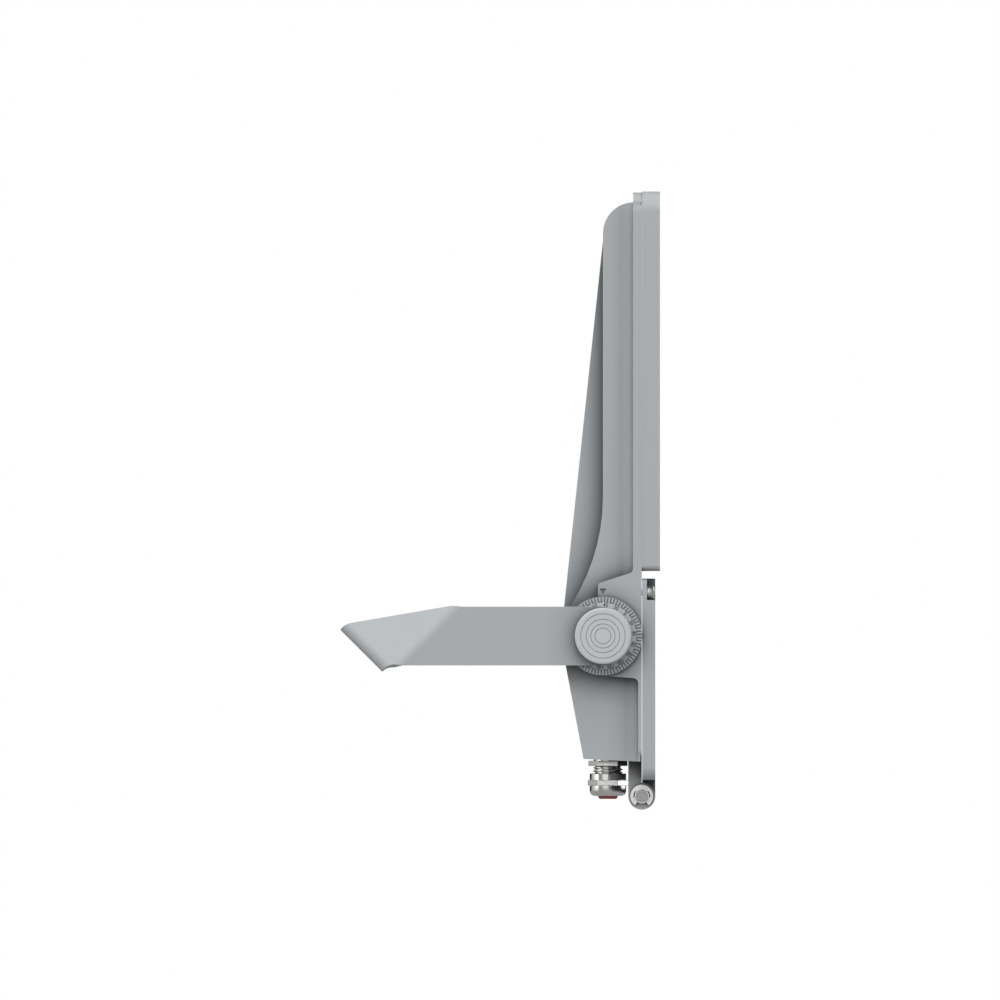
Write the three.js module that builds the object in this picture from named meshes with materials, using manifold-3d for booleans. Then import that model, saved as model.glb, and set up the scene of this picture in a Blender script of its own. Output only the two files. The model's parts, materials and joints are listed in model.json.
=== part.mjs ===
// Area floodlight on a yoke bracket: one glazed lamp housing with a hinged driver compartment below it.
//
// Frame: millimetres, +Z up, the lamp shines towards -Y, X runs along the tilt axis.
// The origin is the centre of the outer face of the yoke's crossbar, where the light is bolted down.
// Everything on the lamp head is drawn about the tilt axis: y = 0, z = 0 there, y grows to the rear.
// "left" is -X and "right" is +X, as seen from in front of the lamp.

import * as THREE from 'three';
import { mergeVertices } from 'three/addons/utils/BufferGeometryUtils.js';
import Module from 'manifold-3d';

const wasm = await Module();
wasm.setup();

// ---------------------------------------------------------------- driving dimensions

const GAP = 0.3; // clearance between pieces that rest on each other
const SIDES = [{ name: 'left', sign: -1 }, { name: 'right', sign: 1 }];

// Lamp head
const HALF_WIDTH = 170;
const WALL = 4;
const FLANGE_FRONT = -26.4;
const FLANGE_BACK = -20.5;
const LOWER_FLANGE_BACK = -24;
const FLANGE_TOP = 301.6;
const FLANGE_BOTTOM = -85.4;
const SHELL_HALF_WIDTH = 161;
const SHELL_TOP = 295;
const SHELL_TOP_RADIUS = 21;
const SHELL_FILLET = 8;
const CORNER_RADIUS = 14;
const LOWER_CORNER_RADIUS = 8.5;
const SWEEP_START_Z = 94.5; // where the rear wall starts to run back over the driver compartment
const REAR_APEX = [28.9, -1.4];
const DRIVER_REAR = [13.2, -83.6];
const PARTITION_TOP = 50;
const PARTITION_BOTTOM = 34;

// Glazed front frame
const FRAME_FRONT = -38.8;
const FRAME_TOP = 302.3;
const FRAME_BOTTOM = 44.2;
const FRAME_LIP = 4;
const GLASS_HALF_WIDTH = 151;
const GLASS_TOP = 292;
const GLASS_BOTTOM = 54;
const GLASS_THICKNESS = 5;
const WINDOW_INSET = 9;
const GLASS_GASKET_WIDTH = 5;
const FRAME_SCREW_X = 158;
const FRAME_SCREW_Z = [57, 133, 210, 287];

// Driver cover, its hinge and its screws
const COVER_FRONT = -35.6;
const COVER_TOP = 39.1;
const COVER_BOTTOM = -97.9;
const COVER_SKIN = 2.5;
const COVER_GASKET_HALF_WIDTH = 155.2;
const COVER_GASKET_TOP = 34.2;
const COVER_GASKET_BOTTOM = -84;
const COVER_GASKET_WIDTH = 5.2;
const NOTCH_WIDTH = 14;
const NOTCH_BACK = -29.9;
const NOTCH_BOTTOM = 24.5;
const COVER_SCREW_X = 163;
const COVER_SCREW_Z = 29.4;
const COVER_SCREW_TIP = -18.4;
const HINGE_Y = -26.4;
const HINGE_Z = -108.9;
const HINGE_LUG_RADIUS = 9.2;
const HINGE_PIN_RADIUS = 4.5;
const HINGE_LUG_INNER = 141;
const HINGE_LUG_OUTER = 150;
const KNUCKLE_WIDTH = 13;

// Cable gland, M20
const GLAND_X = 100;
const GLAND_Y = -3.4;
const GLAND_THREAD_RADIUS = 9.7;
const GLAND_HEX_RADIUS = 13.7;
const GLAND_BORE_RADIUS = 7.2;

// Yoke bracket and tilt pivot
const STRIP_WIDTH = 40;
const STRIP_THICKNESS = 4;
const FOLD_RADIUS = 6; // at the middle of the strip's thickness
const FIRST_FOLD_ANGLE = Math.PI / 4;
const SECOND_FOLD_ANGLE = Math.PI / 2;
const FIRST_FOLD_START = 116; // along the flat strip from the pivot, at mid width
const SECOND_FOLD_DISTANCE = 33.3; // from the first fold, square to the second
const PIVOT_BOLT_RADIUS = 5;
const PIVOT_HOLE_RADIUS = 5.6;
const PAD_X = HALF_WIDTH;
const WASHER_THICKNESS = 1.2;
const DIAL_THICKNESS = 2.4;
const DIAL_RADIUS = 26.7;
const CAP_RADIUS = 19.2;
const CAP_HEIGHT = 9.8;
const DIAL_X = PAD_X + WASHER_THICKNESS + 2 * GAP;
const ARM_X = DIAL_X + DIAL_THICKNESS + GAP;
const ARM_OUTER_X = ARM_X + STRIP_THICKNESS;

// ---------------------------------------------------------------- solid helpers

/** A closed three.js geometry as a manifold solid with its faces pointing out. */
function solid(geometry) {
  const bare = geometry.clone();
  bare.deleteAttribute('normal');
  bare.deleteAttribute('uv');
  const merged = mergeVertices(bare, 1e-4);
  const outward = [];
  const inward = [];
  for (let i = 0; i < merged.index.count; i += 3) {
    const [a, b, c] = merged.index.array.slice(i, i + 3);
    if (a === b || b === c || c === a) continue;
    outward.push(a, b, c);
    inward.push(a, c, b);
  }
  const vertProperties = new Float32Array(merged.attributes.position.array);
  const build = (corners) => new wasm.Manifold(
    new wasm.Mesh({ numProp: 3, vertProperties, triVerts: new Uint32Array(corners) }),
  );
  const body = build(outward);
  return body.volume() > 0 ? body : build(inward);
}

/** A manifold solid as a three.js geometry. */
function surface(body) {
  const mesh = body.getMesh();
  const geometry = new THREE.BufferGeometry();
  const positions = new Float32Array(mesh.vertProperties);
  geometry.setAttribute('position', new THREE.BufferAttribute(positions, mesh.numProp));
  geometry.setIndex(new THREE.BufferAttribute(new Uint32Array(mesh.triVerts), 1));
  geometry.computeVertexNormals();
  return geometry;
}

function union(bodies) {
  return bodies.reduce((whole, body) => whole.add(body));
}

function cut(body, tools) {
  return tools.reduce((rest, tool) => rest.subtract(tool), body);
}

function box([x0, x1], [y0, y1], [z0, z1]) {
  const geometry = new THREE.BoxGeometry(x1 - x0, y1 - y0, z1 - z0);
  geometry.translate((x0 + x1) / 2, (y0 + y1) / 2, (z0 + z1) / 2);
  return solid(geometry);
}

/** A list of [u, v] corners, or a ready Shape, as a Shape. */
function asShape(outline) {
  if (outline instanceof THREE.Shape) return outline;
  return new THREE.Shape(outline.map(([u, v]) => new THREE.Vector2(u, v)));
}

function extrude(outline, depth) {
  return new THREE.ExtrudeGeometry(asShape(outline), { depth, bevelEnabled: false, curveSegments: 6 });
}

const AXIS_X = new THREE.Vector3(1, 0, 0);
const AXIS_Y = new THREE.Vector3(0, 1, 0);
const AXIS_Z = new THREE.Vector3(0, 0, 1);

/** A side outline in (y, z), run along X from x0 to x1. */
function alongX(outline, [x0, x1]) {
  const geometry = extrude(outline, x1 - x0);
  geometry.applyMatrix4(new THREE.Matrix4().makeBasis(AXIS_Y, AXIS_Z, AXIS_X));
  geometry.translate(x0, 0, 0);
  return solid(geometry);
}

/** A front outline in (x, z), run along Y from y0 to y1. */
function alongY(outline, [y0, y1]) {
  const geometry = extrude(outline, y1 - y0);
  geometry.applyMatrix4(new THREE.Matrix4().makeBasis(AXIS_X, AXIS_Z, AXIS_Y.clone().negate()));
  geometry.translate(0, y1, 0);
  return solid(geometry);
}

/** A plan outline in (x, y), run along Z from z0 to z1. */
function alongZ(outline, [z0, z1]) {
  const geometry = extrude(outline, z1 - z0);
  geometry.translate(0, 0, z0);
  return solid(geometry);
}

/** A round or polygonal bar along X, Y or Z, centred at (u, v) on the other two axes. */
function bar(axis, radius, [from, to], [u, v] = [0, 0], sides = 24, turn = 0) {
  const geometry = new THREE.CylinderGeometry(radius, radius, to - from, sides);
  geometry.rotateY(turn);
  geometry.translate(0, (from + to) / 2, 0);
  if (axis === 'x') geometry.rotateZ(-Math.PI / 2).translate(0, u, v);
  if (axis === 'y') geometry.translate(u, 0, v);
  if (axis === 'z') geometry.rotateX(Math.PI / 2).translate(u, v, 0);
  return solid(geometry);
}

/** A profile of [radius, height] points that closes on itself, turned about Y. */
function turned(profile, sides = 24) {
  const points = [...profile, profile[0]].map(([r, h]) => new THREE.Vector2(r, h));
  return new THREE.LatheGeometry(points, sides);
}

/** A rectangle in (u, v) with its bottom and top corners rounded. */
function roundedRectangle([u0, u1], [v0, v1], bottomRadius, topRadius = bottomRadius) {
  const shape = new THREE.Shape();
  shape.moveTo(u0 + bottomRadius, v0);
  shape.lineTo(u1 - bottomRadius, v0);
  shape.absarc(u1 - bottomRadius, v0 + bottomRadius, bottomRadius, -Math.PI / 2, 0);
  shape.lineTo(u1, v1 - topRadius);
  shape.absarc(u1 - topRadius, v1 - topRadius, topRadius, 0, Math.PI / 2);
  shape.lineTo(u0 + topRadius, v1);
  shape.absarc(u0 + topRadius, v1 - topRadius, topRadius, Math.PI / 2, Math.PI);
  shape.lineTo(u0, v0 + bottomRadius);
  shape.absarc(u0 + bottomRadius, v0 + bottomRadius, bottomRadius, Math.PI, 1.5 * Math.PI);
  return shape;
}

/** Points of an arc about (u, v), as [u, v] pairs, from one angle to another. */
function arc(u, v, radius, from, to, steps) {
  const points = [];
  for (let i = 0; i <= steps; i += 1) {
    const angle = from + ((to - from) * i) / steps;
    points.push([u + radius * Math.cos(angle), v + radius * Math.sin(angle)]);
  }
  return points;
}

/** Both mirror images of a body that is drawn on the +X side. */
function bothSides(body) {
  return [body, body.mirror([1, 0, 0])];
}

// ---------------------------------------------------------------- finishes

const finish = (color, roughness, metalness) => new THREE.MeshStandardMaterial({ color, roughness, metalness });
const PAINT = finish(0xa7abae, 0.55, 0.1);
const CAP_PLASTIC = finish(0xbabebf, 0.5, 0);
const DIAL_PLASTIC = finish(0x8e9294, 0.6, 0);
const GLASS = finish(0xdfe8ea, 0.05, 0);
const RUBBER = finish(0x2b2c2d, 0.85, 0);
const SEAL_RUBBER = finish(0x5a2d28, 0.8, 0);
const STEEL = finish(0xb9bbbd, 0.3, 0.9);
const NICKEL = finish(0xc9cac8, 0.25, 1);
const BRASS = finish(0xb69a56, 0.35, 1);
const BOARD_WHITE = finish(0xe9eae6, 0.5, 0);
const CLEAR_PLASTIC = finish(0xeef2f2, 0.1, 0);
const BLACK_PLASTIC = finish(0x25272a, 0.6, 0);
const LEAD_RED = finish(0x8e2a26, 0.5, 0);
const LEAD_BLUE = finish(0x2d4d80, 0.5, 0);
const LEAD_GREEN = finish(0x5f8a3c, 0.5, 0);

function piece(name, body, material, parent) {
  const mesh = new THREE.Mesh(surface(body), material);
  mesh.name = name;
  parent.add(mesh);
  return mesh;
}

// ---------------------------------------------------------------- yoke bracket

/**
 * A point of the folded strip on the -X side, from the tilt axis.
 * s runs along the flat strip from the pivot, t across it, n outward from the middle of its thickness.
 * Both folds run diagonally, so the crossbar ends up square to the arms and tilted by 45 degrees.
 */
function foldedPoint(s, t, n) {
  const alongFold = new THREE.Vector3(0, 1, -1).normalize();
  const acrossFold = new THREE.Vector3(0, 1, 1).normalize();
  const a = (s - FIRST_FOLD_START - t) / Math.SQRT2;
  const b = (s - FIRST_FOLD_START + t) / Math.SQRT2;
  const turn1 = Math.min(Math.max(b / FOLD_RADIUS, 0), FIRST_FOLD_ANGLE);
  const turn2 = Math.min(Math.max((a - SECOND_FOLD_DISTANCE) / FOLD_RADIUS, 0), SECOND_FOLD_ANGLE);
  const straight1 = b > 0 ? b - turn1 * FOLD_RADIUS : b;
  const straight2 = Math.max(a - SECOND_FOLD_DISTANCE - turn2 * FOLD_RADIUS, 0);
  const beforeSecond = Math.min(a, SECOND_FOLD_DISTANCE);
  const outward1 = acrossFold.clone().multiplyScalar(Math.sin(turn1)).addScaledVector(AXIS_X, -Math.cos(turn1));
  const heading1 = acrossFold.clone().multiplyScalar(Math.cos(turn1)).addScaledVector(AXIS_X, Math.sin(turn1));
  const outward2 = outward1.clone().multiplyScalar(Math.cos(turn2)).addScaledVector(alongFold, Math.sin(turn2));
  const heading2 = alongFold.clone().multiplyScalar(Math.cos(turn2)).addScaledVector(outward1, -Math.sin(turn2));
  const point = new THREE.Vector3(-(ARM_X + STRIP_THICKNESS / 2), FIRST_FOLD_START, 0);
  point.addScaledVector(alongFold, beforeSecond + FOLD_RADIUS * Math.sin(turn2));
  point.addScaledVector(outward1, -FOLD_RADIUS * (1 - Math.cos(turn2)));
  point.addScaledVector(acrossFold, FOLD_RADIUS * Math.sin(turn1));
  point.addScaledVector(AXIS_X, FOLD_RADIUS * (1 - Math.cos(turn1)));
  point.addScaledVector(heading1, straight1);
  point.addScaledVector(heading2, straight2);
  point.addScaledVector(outward2, n);
  return point;
}

/** Where the flat strip, followed from the left pivot, meets the middle of the crossbar. */
function stripMiddle() {
  const probe = FIRST_FOLD_START + ARM_OUTER_X;
  return probe - foldedPoint(probe, 0, 0).x;
}

const CROSSBAR_CENTRE = foldedPoint(stripMiddle(), 0, STRIP_THICKNESS / 2);
const PIVOT = new THREE.Vector3(0, -CROSSBAR_CENTRE.y, -CROSSBAR_CENTRE.z);

/** The strip as one closed mesh: ruled columns that lie along the folds, then their mirror images. */
function foldedStrip(armStart) {
  const half = STRIP_WIDTH / 2;
  const skew = FOLD_RADIUS * Math.SQRT2;
  const columns = [[armStart, armStart]];
  const firstSteps = 4;
  const secondSteps = 8;
  for (let i = 0; i <= firstSteps; i += 1) {
    const middle = FIRST_FOLD_START + (skew * FIRST_FOLD_ANGLE * i) / firstSteps;
    columns.push([middle + half, middle - half]);
  }
  const secondStart = FIRST_FOLD_START + SECOND_FOLD_DISTANCE * Math.SQRT2;
  for (let i = 0; i <= secondSteps; i += 1) {
    const middle = secondStart + (skew * SECOND_FOLD_ANGLE * i) / secondSteps;
    columns.push([middle - half, middle + half]);
  }
  const section = ([low, high]) => [
    foldedPoint(low, -half, STRIP_THICKNESS / 2),
    foldedPoint(high, half, STRIP_THICKNESS / 2),
    foldedPoint(high, half, -STRIP_THICKNESS / 2),
    foldedPoint(low, -half, -STRIP_THICKNESS / 2),
  ];
  const left = columns.map(section);
  const right = left.map((corners) => corners.map(({ x, y, z }) => new THREE.Vector3(-x, y, z))).reverse();
  const sections = [...left, ...right];
  const positions = sections.flat().flatMap(({ x, y, z }) => [x, y, z]);
  const triangles = [0, 1, 2, 0, 2, 3];
  for (let i = 0; i < sections.length - 1; i += 1) {
    for (let j = 0; j < 4; j += 1) {
      const a = 4 * i + j;
      const b = 4 * i + ((j + 1) % 4);
      triangles.push(a, a + 4, b, b, a + 4, b + 4);
    }
  }
  const last = 4 * (sections.length - 1);
  triangles.push(last, last + 2, last + 1, last, last + 3, last + 2);
  const geometry = new THREE.BufferGeometry();
  geometry.setAttribute('position', new THREE.Float32BufferAttribute(positions, 3));
  geometry.setIndex(triangles);
  return solid(geometry);
}

/** Holes through the crossbar: two round ones and two slots outside them, square to its face. */
function crossbarHoles() {
  const radius = 5.5;
  const reach = [-20, 20];
  const tilt = (body) => body.rotate([-45, 0, 0]).translate([0, CROSSBAR_CENTRE.y, CROSSBAR_CENTRE.z]);
  const round = bar('y', radius, reach, [32, 0], 16);
  const slotEnds = [62, 82];
  const slot = union([
    ...slotEnds.map((x) => bar('y', radius, reach, [x, 0], 16)),
    box(slotEnds, reach, [-radius, radius]),
  ]);
  return [...bothSides(round), ...bothSides(slot)].map(tilt);
}

function yokeBracket() {
  const endCentreY = 2;
  const armEnd = bar('x', STRIP_WIDTH / 2, [ARM_X, ARM_OUTER_X], [endCentreY, 0], 32);
  const strip = union([foldedStrip(endCentreY), ...bothSides(armEnd)]);
  const pivotHole = bar('x', PIVOT_HOLE_RADIUS, [-HALF_WIDTH - 30, HALF_WIDTH + 30], [0, 0]);
  return cut(strip, [pivotHole, ...crossbarHoles()]);
}

/** The protractor disc between the arm and the lamp head, plain here on both faces. */
function dial() {
  const disc = bar('x', DIAL_RADIUS, [DIAL_X, DIAL_X + DIAL_THICKNESS], [0, 0], 48);
  return cut(disc, [bar('x', PIVOT_HOLE_RADIUS, [DIAL_X - 1, ARM_X], [0, 0])]);
}

// ---------------------------------------------------------------- housing

/** The rear wall from its straight upper part back to the apex, drawn inset from its outer face. */
function rearSweep(inset) {
  const curve = new THREE.QuadraticBezierCurve(
    new THREE.Vector2(-inset, SWEEP_START_Z),
    new THREE.Vector2(-inset, 50.9),
    new THREE.Vector2(28 - 0.9 * inset, 11 + 0.4 * inset),
  );
  return curve.getPoints(8).map(({ x, y }) => [x, y]);
}

/** Side outline of the shell, drawn inset from its outer face. */
function shellOutline(inset) {
  const buried = FLANGE_FRONT + 1;
  return [
    [buried, SHELL_TOP - inset],
    ...arc(-SHELL_TOP_RADIUS, SHELL_TOP - SHELL_TOP_RADIUS, SHELL_TOP_RADIUS - inset, Math.PI / 2, 0, 8),
    ...rearSweep(inset),
    [REAR_APEX[0] - inset, REAR_APEX[1]],
    [DRIVER_REAR[0] - 0.85 * inset, DRIVER_REAR[1] + inset],
    [buried, FLANGE_BOTTOM + inset],
  ];
}

/** Plan outline of the shell: straight sides that flare into the back of the flange through a fillet. */
function shellPlan(flangeBack) {
  const flareX = SHELL_HALF_WIDTH + SHELL_FILLET;
  const flareY = flangeBack + SHELL_FILLET;
  const flare = arc(flareX, flareY, SHELL_FILLET, 1.5 * Math.PI, Math.PI, 6);
  const right = [[flareX, FLANGE_FRONT + 1], ...flare, [SHELL_HALF_WIDTH - 1, REAR_APEX[0] + 5]];
  return [...right, ...right.map(([x, y]) => [-x, y]).reverse()];
}

function outerShell() {
  const side = alongX(shellOutline(0), [-HALF_WIDTH, HALF_WIDTH]);
  const plan = union([
    alongZ(shellPlan(FLANGE_BACK), [0, SHELL_TOP]),
    alongZ(shellPlan(LOWER_FLANGE_BACK), [FLANGE_BOTTOM, 0]),
  ]);
  const shell = side.intersect(plan);
  const width = [-HALF_WIDTH, HALF_WIDTH];
  const plate = roundedRectangle(width, [FLANGE_BOTTOM, FLANGE_TOP], LOWER_CORNER_RADIUS, CORNER_RADIUS);
  const rim = roundedRectangle(width, [PARTITION_TOP - 12, FLANGE_TOP], 2, CORNER_RADIUS);
  return union([
    shell,
    alongY(plate, [FLANGE_FRONT, LOWER_FLANGE_BACK]),
    alongY(rim, [FLANGE_FRONT, FLANGE_BACK]),
  ]);
}

/** The hollow of one compartment and the narrower mouth in front of it, whose ledge seats a gasket. */
function compartment([bottom, top], mouthX, mouthZ) {
  const ledgeBack = FLANGE_FRONT + WALL;
  const sideX = SHELL_HALF_WIDTH - WALL - 1;
  const room = alongX(shellOutline(WALL), [-sideX, sideX]);
  const mouth = alongY(roundedRectangle([-mouthX, mouthX], mouthZ, 6), [FLANGE_FRONT - 5, ledgeBack + 1]);
  return [room.intersect(box([-sideX, sideX], [ledgeBack, 60], [bottom, top])), mouth];
}

/** A cooling fin: a wedge behind the rear wall that is deepest over the driver compartment. */
function fin(x) {
  const thickness = 2.6;
  const root = 2;
  const top = SHELL_TOP - 26;
  const outline = [[-root, top], ...rearSweep(root), [REAR_APEX[0] - root, REAR_APEX[1]],
    [REAR_APEX[0] - 0.2, REAR_APEX[1]], [0, top]];
  return alongX(outline, [x - thickness / 2, x + thickness / 2]);
}

/** The raised land that the dial and the arm stand off from, flush with the flange's sides. */
function pivotPad() {
  const outline = [
    [FLANGE_FRONT, 46],
    ...arc(FLANGE_BACK + 3.5, 46, 3.5, Math.PI, Math.PI + 1.16, 3),
    ...arc(0.4, 33.6, 3, 1.26, 0, 4),
    [3.4, 20],
    [-1, -27.2],
    ...arc(LOWER_FLANGE_BACK + 3.5, -32.1, 3.5, 1.71, Math.PI, 3),
    [FLANGE_FRONT, -32.1],
  ];
  const reach = [SHELL_HALF_WIDTH - WALL - 1, PAD_X];
  return alongX(outline, reach).add(bar('x', 24, reach, [0, 0], 28));
}

/** A hinge lug under the driver compartment. */
function hingeLug() {
  const reach = [HINGE_LUG_INNER, HINGE_LUG_OUTER];
  const web = box(reach, [HINGE_Y, HINGE_Y + HINGE_LUG_RADIUS], [HINGE_Z, FLANGE_BOTTOM + 3]);
  return web.add(bar('x', HINGE_LUG_RADIUS, reach, [HINGE_Y, HINGE_Z], 32));
}

const FRAME_SCREW_PLACES = SIDES.flatMap(({ sign }) => FRAME_SCREW_Z.map((z) => [sign * FRAME_SCREW_X, z]));
const COVER_SCREW_PLACES = SIDES.map(({ sign }) => [sign * COVER_SCREW_X, COVER_SCREW_Z]);
const TRAY_SCREW_PLACES = SIDES.map(({ sign }) => [sign * 130, -20]);
const TRAY_BACK = 5.5;
const LEAD_PLACE = [20, -12];

/** Screw bosses, tray posts and pivot bosses, trimmed to the shell so that none shows outside. */
function bosses(outer) {
  const frameBosses = FRAME_SCREW_PLACES.map((place) => bar('y', 5.5, [FLANGE_FRONT, -14], place, 16));
  const coverBosses = COVER_SCREW_PLACES.map((place) => bar('y', 7, [FLANGE_FRONT, -12], place, 16));
  const posts = TRAY_SCREW_PLACES.map((place) => bar('y', 5, [TRAY_BACK + GAP, 23], place, 16));
  const pivotBosses = bothSides(bar('x', 14, [146, SHELL_HALF_WIDTH - WALL], [0, 0], 24));
  return union([...frameBosses, ...coverBosses, ...posts, ...pivotBosses]).intersect(outer);
}

function housing() {
  const lamp = compartment([PARTITION_TOP, FLANGE_TOP], 145, [60, 286]);
  const driver = compartment([FLANGE_BOTTOM, PARTITION_BOTTOM], 149, [-77, 28]);
  const outer = union([outerShell(), ...bothSides(pivotPad())]);
  const finCount = 15;
  const finPitch = 21;
  const fins = Array.from({ length: finCount }, (_, i) => fin((i - (finCount - 1) / 2) * finPitch));
  const hollow = cut(outer, [...lamp, ...driver]);
  const whole = union([hollow, bosses(outer), ...fins, ...bothSides(hingeLug())]);
  return cut(whole, [
    ...FRAME_SCREW_PLACES.map((place) => bar('y', 2.3, [FLANGE_FRONT - 1, -15.5], place, 10)),
    ...COVER_SCREW_PLACES.map((place) => bar('y', 4.3, [FLANGE_FRONT - 1, -15.5], place, 16)),
    ...TRAY_SCREW_PLACES.map((place) => bar('y', 2.3, [TRAY_BACK, 16], place, 12)),
    ...bothSides(bar('x', PIVOT_BOLT_RADIUS + GAP, [147.5, PAD_X + 1], [0, 0])),
    bar('x', HINGE_PIN_RADIUS + GAP, [-HALF_WIDTH, HALF_WIDTH], [HINGE_Y, HINGE_Z]),
    bar('z', GLAND_THREAD_RADIUS + GAP, [FLANGE_BOTTOM - 1, -70], [GLAND_X, GLAND_Y]),
    bar('z', 16, [FLANGE_BOTTOM - 5, -84.5], [GLAND_X, GLAND_Y], 32),
    bar('z', 5.3, [PARTITION_BOTTOM - 1, PARTITION_TOP + 1], LEAD_PLACE, 16),
  ]);
}

// ---------------------------------------------------------------- front frame and glass

const GLASS_FRONT = FRAME_FRONT + FRAME_LIP + GAP;
const GLASS_BACK = GLASS_FRONT + GLASS_THICKNESS;
const SEAT_FRONT = FLANGE_FRONT - GAP; // rear faces that rest on the flange

function frontFrame() {
  const outline = roundedRectangle([-HALF_WIDTH, HALF_WIDTH], [FRAME_BOTTOM, FRAME_TOP], 4, CORNER_RADIUS);
  const pocketX = GLASS_HALF_WIDTH + 0.4;
  const pocket = roundedRectangle([-pocketX, pocketX], [GLASS_BOTTOM - 0.4, GLASS_TOP + 0.4], 8);
  const windowX = GLASS_HALF_WIDTH - WINDOW_INSET;
  const opening = [GLASS_BOTTOM + WINDOW_INSET, GLASS_TOP - WINDOW_INSET];
  return cut(alongY(outline, [FRAME_FRONT, SEAT_FRONT]), [
    alongY(pocket, [FRAME_FRONT + FRAME_LIP, SEAT_FRONT + 1]),
    alongY(roundedRectangle([-windowX, windowX], opening, 6), [FRAME_FRONT - 1, SEAT_FRONT]),
    ...FRAME_SCREW_PLACES.map((place) => bar('y', 4.2, [FRAME_FRONT - 1, FRAME_FRONT + 4.2], place, 14)),
    ...FRAME_SCREW_PLACES.map((place) => bar('y', 2.4, [FRAME_FRONT, SEAT_FRONT + 1], place, 10)),
  ]);
}

function frontGlass() {
  const width = [-GLASS_HALF_WIDTH, GLASS_HALF_WIDTH];
  return alongY(roundedRectangle(width, [GLASS_BOTTOM, GLASS_TOP], 8), [GLASS_FRONT, GLASS_BACK]);
}

/** A flat gasket ring between two front outlines. */
function gasket(halfWidth, [bottom, top], width, depth) {
  const inner = halfWidth - width;
  return cut(alongY(roundedRectangle([-halfWidth, halfWidth], [bottom, top], 7), depth), [
    alongY(roundedRectangle([-inner, inner], [bottom + width, top - width], 4), [depth[0] - 1, depth[1] + 1]),
  ]);
}

/** A machine screw along Y: its head is in front, with a hexagonal socket. */
function socketScrew(headRadius, [headFront, headBack], shankRadius, shankBack) {
  const head = bar('y', headRadius, [headFront, headBack], [0, 0], 14);
  const shank = bar('y', shankRadius, [headBack - 0.5, shankBack], [0, 0], 8);
  const socket = bar('y', 0.5 * headRadius, [headFront - 1, headFront + 0.6 * (headBack - headFront)], [0, 0], 6);
  return head.add(shank).subtract(socket);
}

// ---------------------------------------------------------------- lamp internals

const LAMP_BACK = -WALL - GAP;
const MODULE_X = [10, 138];
const MODULE_Z = [74, 272];
const BOARD_THICKNESS = 1.6;
const LENS_BACK = LAMP_BACK - BOARD_THICKNESS - GAP;
const LENS_PLATE_THICKNESS = 4;
const LENS_HEIGHT = 5;
const LENS_ROWS = 6;
const LENS_COLUMNS = 4;
const MASK_DEPTH = [-19, -18];

function ledBoard() {
  const margin = 2;
  const width = [MODULE_X[0] - margin, MODULE_X[1] + margin];
  const height = [MODULE_Z[0] - margin, MODULE_Z[1] + margin];
  return box(width, [LAMP_BACK - BOARD_THICKNESS, LAMP_BACK], height);
}

/** A plate with a grid of round lenses, one over each LED. */
function lensPlate() {
  const plateFront = LENS_BACK - LENS_PLATE_THICKNESS;
  const pitchX = (MODULE_X[1] - MODULE_X[0]) / LENS_COLUMNS;
  const pitchZ = (MODULE_Z[1] - MODULE_Z[0]) / LENS_ROWS;
  const lenses = [];
  for (let row = 0; row < LENS_ROWS; row += 1) {
    for (let column = 0; column < LENS_COLUMNS; column += 1) {
      const place = [MODULE_X[0] + pitchX * (column + 0.5), MODULE_Z[0] + pitchZ * (row + 0.5)];
      lenses.push(bar('y', 11, [plateFront - LENS_HEIGHT, plateFront + 1], place, 8));
    }
  }
  return union([box(MODULE_X, [plateFront, LENS_BACK], MODULE_Z), ...lenses]);
}

/** The thin white mask in front of the boards, open over both lens plates. */
function lightMask() {
  const sheet = alongY(roundedRectangle([-144.5, 144.5], [60.5, 285.5], 5), MASK_DEPTH);
  const opening = box([MODULE_X[0] - 2, MODULE_X[1] + 2], [MASK_DEPTH[0] - 1, MASK_DEPTH[1] + 1],
    [MODULE_Z[0] - 2, MODULE_Z[1] + 2]);
  return cut(sheet, bothSides(opening));
}

// ---------------------------------------------------------------- driver compartment

const TRAY_FRONT = 4;
const ON_TRAY = TRAY_FRONT - GAP;

function gearTray() {
  const tray = alongY(roundedRectangle([-140, 140], [-64, 26], 5), [TRAY_FRONT, TRAY_BACK]);
  return cut(tray, TRAY_SCREW_PLACES.map((place) => bar('y', 2.4, [TRAY_FRONT - 1, TRAY_BACK + 1], place, 12)));
}

/** The potted LED driver: a finned-lid brick with a mounting foot at each end. */
function ledDriver() {
  const brick = box([-112, 52], [-23, ON_TRAY], [-48, 20]);
  const foot = box([-120, 60], [ON_TRAY - 2.5, ON_TRAY], [-42, 14]);
  const grooves = Array.from({ length: 5 }, (_, i) => box([-106, 46], [-24, -22], [-36 + 11 * i, -34 + 11 * i]));
  return cut(brick.add(foot), grooves);
}

/** A three-way terminal block with its clamping screws sunk in the front. */
function terminalBlock() {
  const block = box([80, 122], [-10, ON_TRAY], [-54, -28]);
  const wells = [87, 101, 115].map((x) => bar('y', 3, [-11, -5], [x, -41], 12));
  return cut(block, wells);
}

function surgeProtector() {
  const can = alongY(roundedRectangle([80, 114], [-14, 18], 4), [-18, ON_TRAY]);
  return can;
}

/** A round lead along a smooth route of [x, y, z] points. */
function lead(points, radius, steps) {
  const path = new THREE.CatmullRomCurve3(points.map(([x, y, z]) => new THREE.Vector3(x, y, z)));
  const ring = new THREE.Shape();
  ring.absarc(0, 0, radius, 0, 2 * Math.PI);
  return solid(new THREE.ExtrudeGeometry(ring, { extrudePath: path, steps, curveSegments: 4, bevelEnabled: false }));
}

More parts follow.
